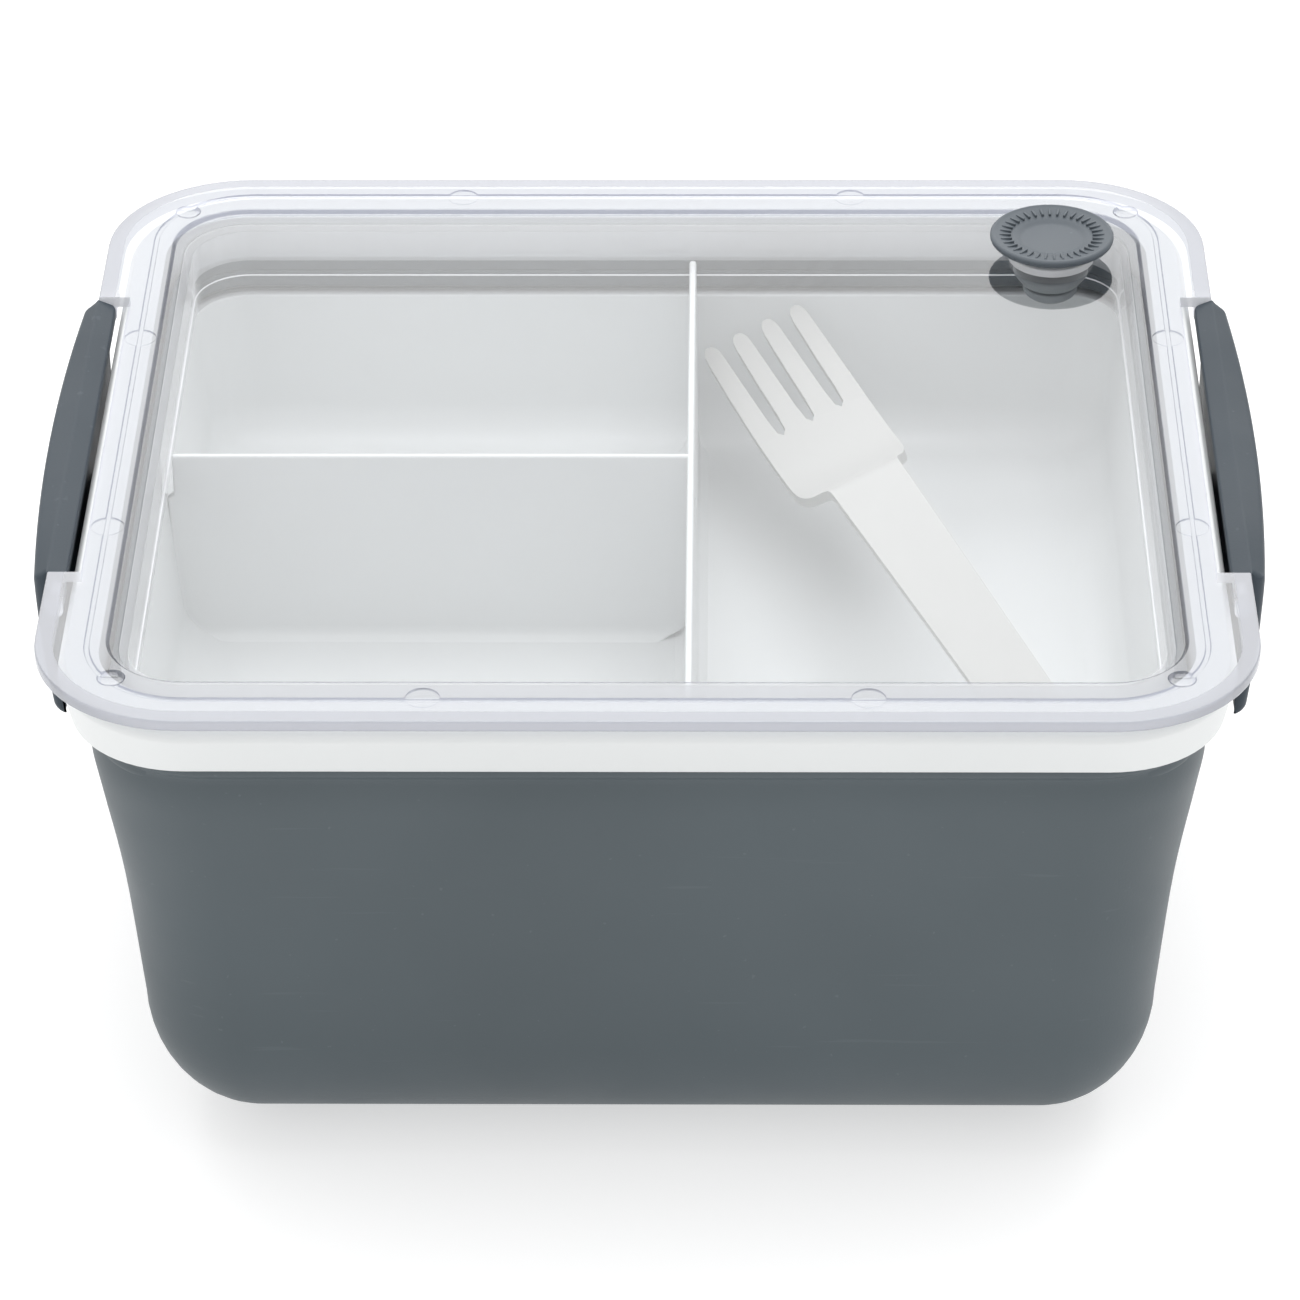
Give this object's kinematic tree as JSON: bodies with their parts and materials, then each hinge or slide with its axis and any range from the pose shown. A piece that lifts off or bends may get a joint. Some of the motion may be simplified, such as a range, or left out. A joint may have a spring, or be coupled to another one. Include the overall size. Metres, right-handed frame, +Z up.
{
  "type": "lunch box",
  "caption": "Two-level rectangular lunch box: tub, divided lift-out tray, clear sealing lid with side latches and a press vent, and a fork lying in the tray.",
  "frame": {"origin": "middle of the footprint, on the ground", "axes": "+X along the width towards the right latch, +Y towards the back, where the vent button is, +Z up"},
  "size_m": [0.2088, 0.1824, 0.1052],
  "materials": {
    "tub_slate": "fine matte grain",
    "tray_white": "satin white",
    "lid_clear": "clear gloss plastic",
    "seal_grey": "soft silicone",
    "latch_slate": "satin",
    "button_slate": "satin",
    "fork_white": "satin white"
  },
  "bodies": {
    "tub": {"outer_tub": "tub_slate"},
    "tray": {"inner_tray": "tray_white"},
    "fork": {"fork": "fork_white"},
    "lid": {"lid": "lid_clear", "lid_seal": "seal_grey", "vent_seal": "seal_grey"},
    "left_latch": {"latch_left": "latch_slate"},
    "right_latch": {"latch_right": "latch_slate"},
    "button": {"release_button": "button_slate"}
  },
  "joints": [
    {"name": "lid_lift", "type": "slide", "parent": "tub", "child": "lid", "axis": [0, 0, 1], "range_m": [0, 0.07]},
    {"name": "tray_lift", "type": "slide", "parent": "tub", "child": "tray", "axis": [0, 0, 1], "range_m": [0, 0.0465]},
    {"name": "fork_lift", "type": "slide", "parent": "tray", "child": "fork", "axis": [0, 0, 1], "range_m": [0, 0.0305]},
    {"name": "left_latch_hinge", "type": "hinge", "parent": "lid", "child": "left_latch", "pos_m": [-0.0985, 0, 0.0984], "axis": [0, 1, 0], "range_deg": [0, 120]},
    {"name": "right_latch_hinge", "type": "hinge", "parent": "lid", "child": "right_latch", "pos_m": [0.0985, 0, 0.0984], "axis": [0, -1, 0], "range_deg": [0, 120]},
    {"name": "button_press", "type": "slide", "parent": "lid", "child": "button", "axis": [0, 0, -1], "range_m": [0, 0.0015], "stiffness_N_per_m": 600}
  ],
  "couplings": [
    {"joint": "tray_lift", "follows": "lid_lift", "ratio": 0.66},
    {"joint": "fork_lift", "follows": "lid_lift", "ratio": 0.43},
    {"joint": "left_latch_hinge", "follows": "lid_lift", "rad_per_m": 29.9},
    {"joint": "right_latch_hinge", "follows": "lid_lift", "rad_per_m": 29.9}
  ]
}
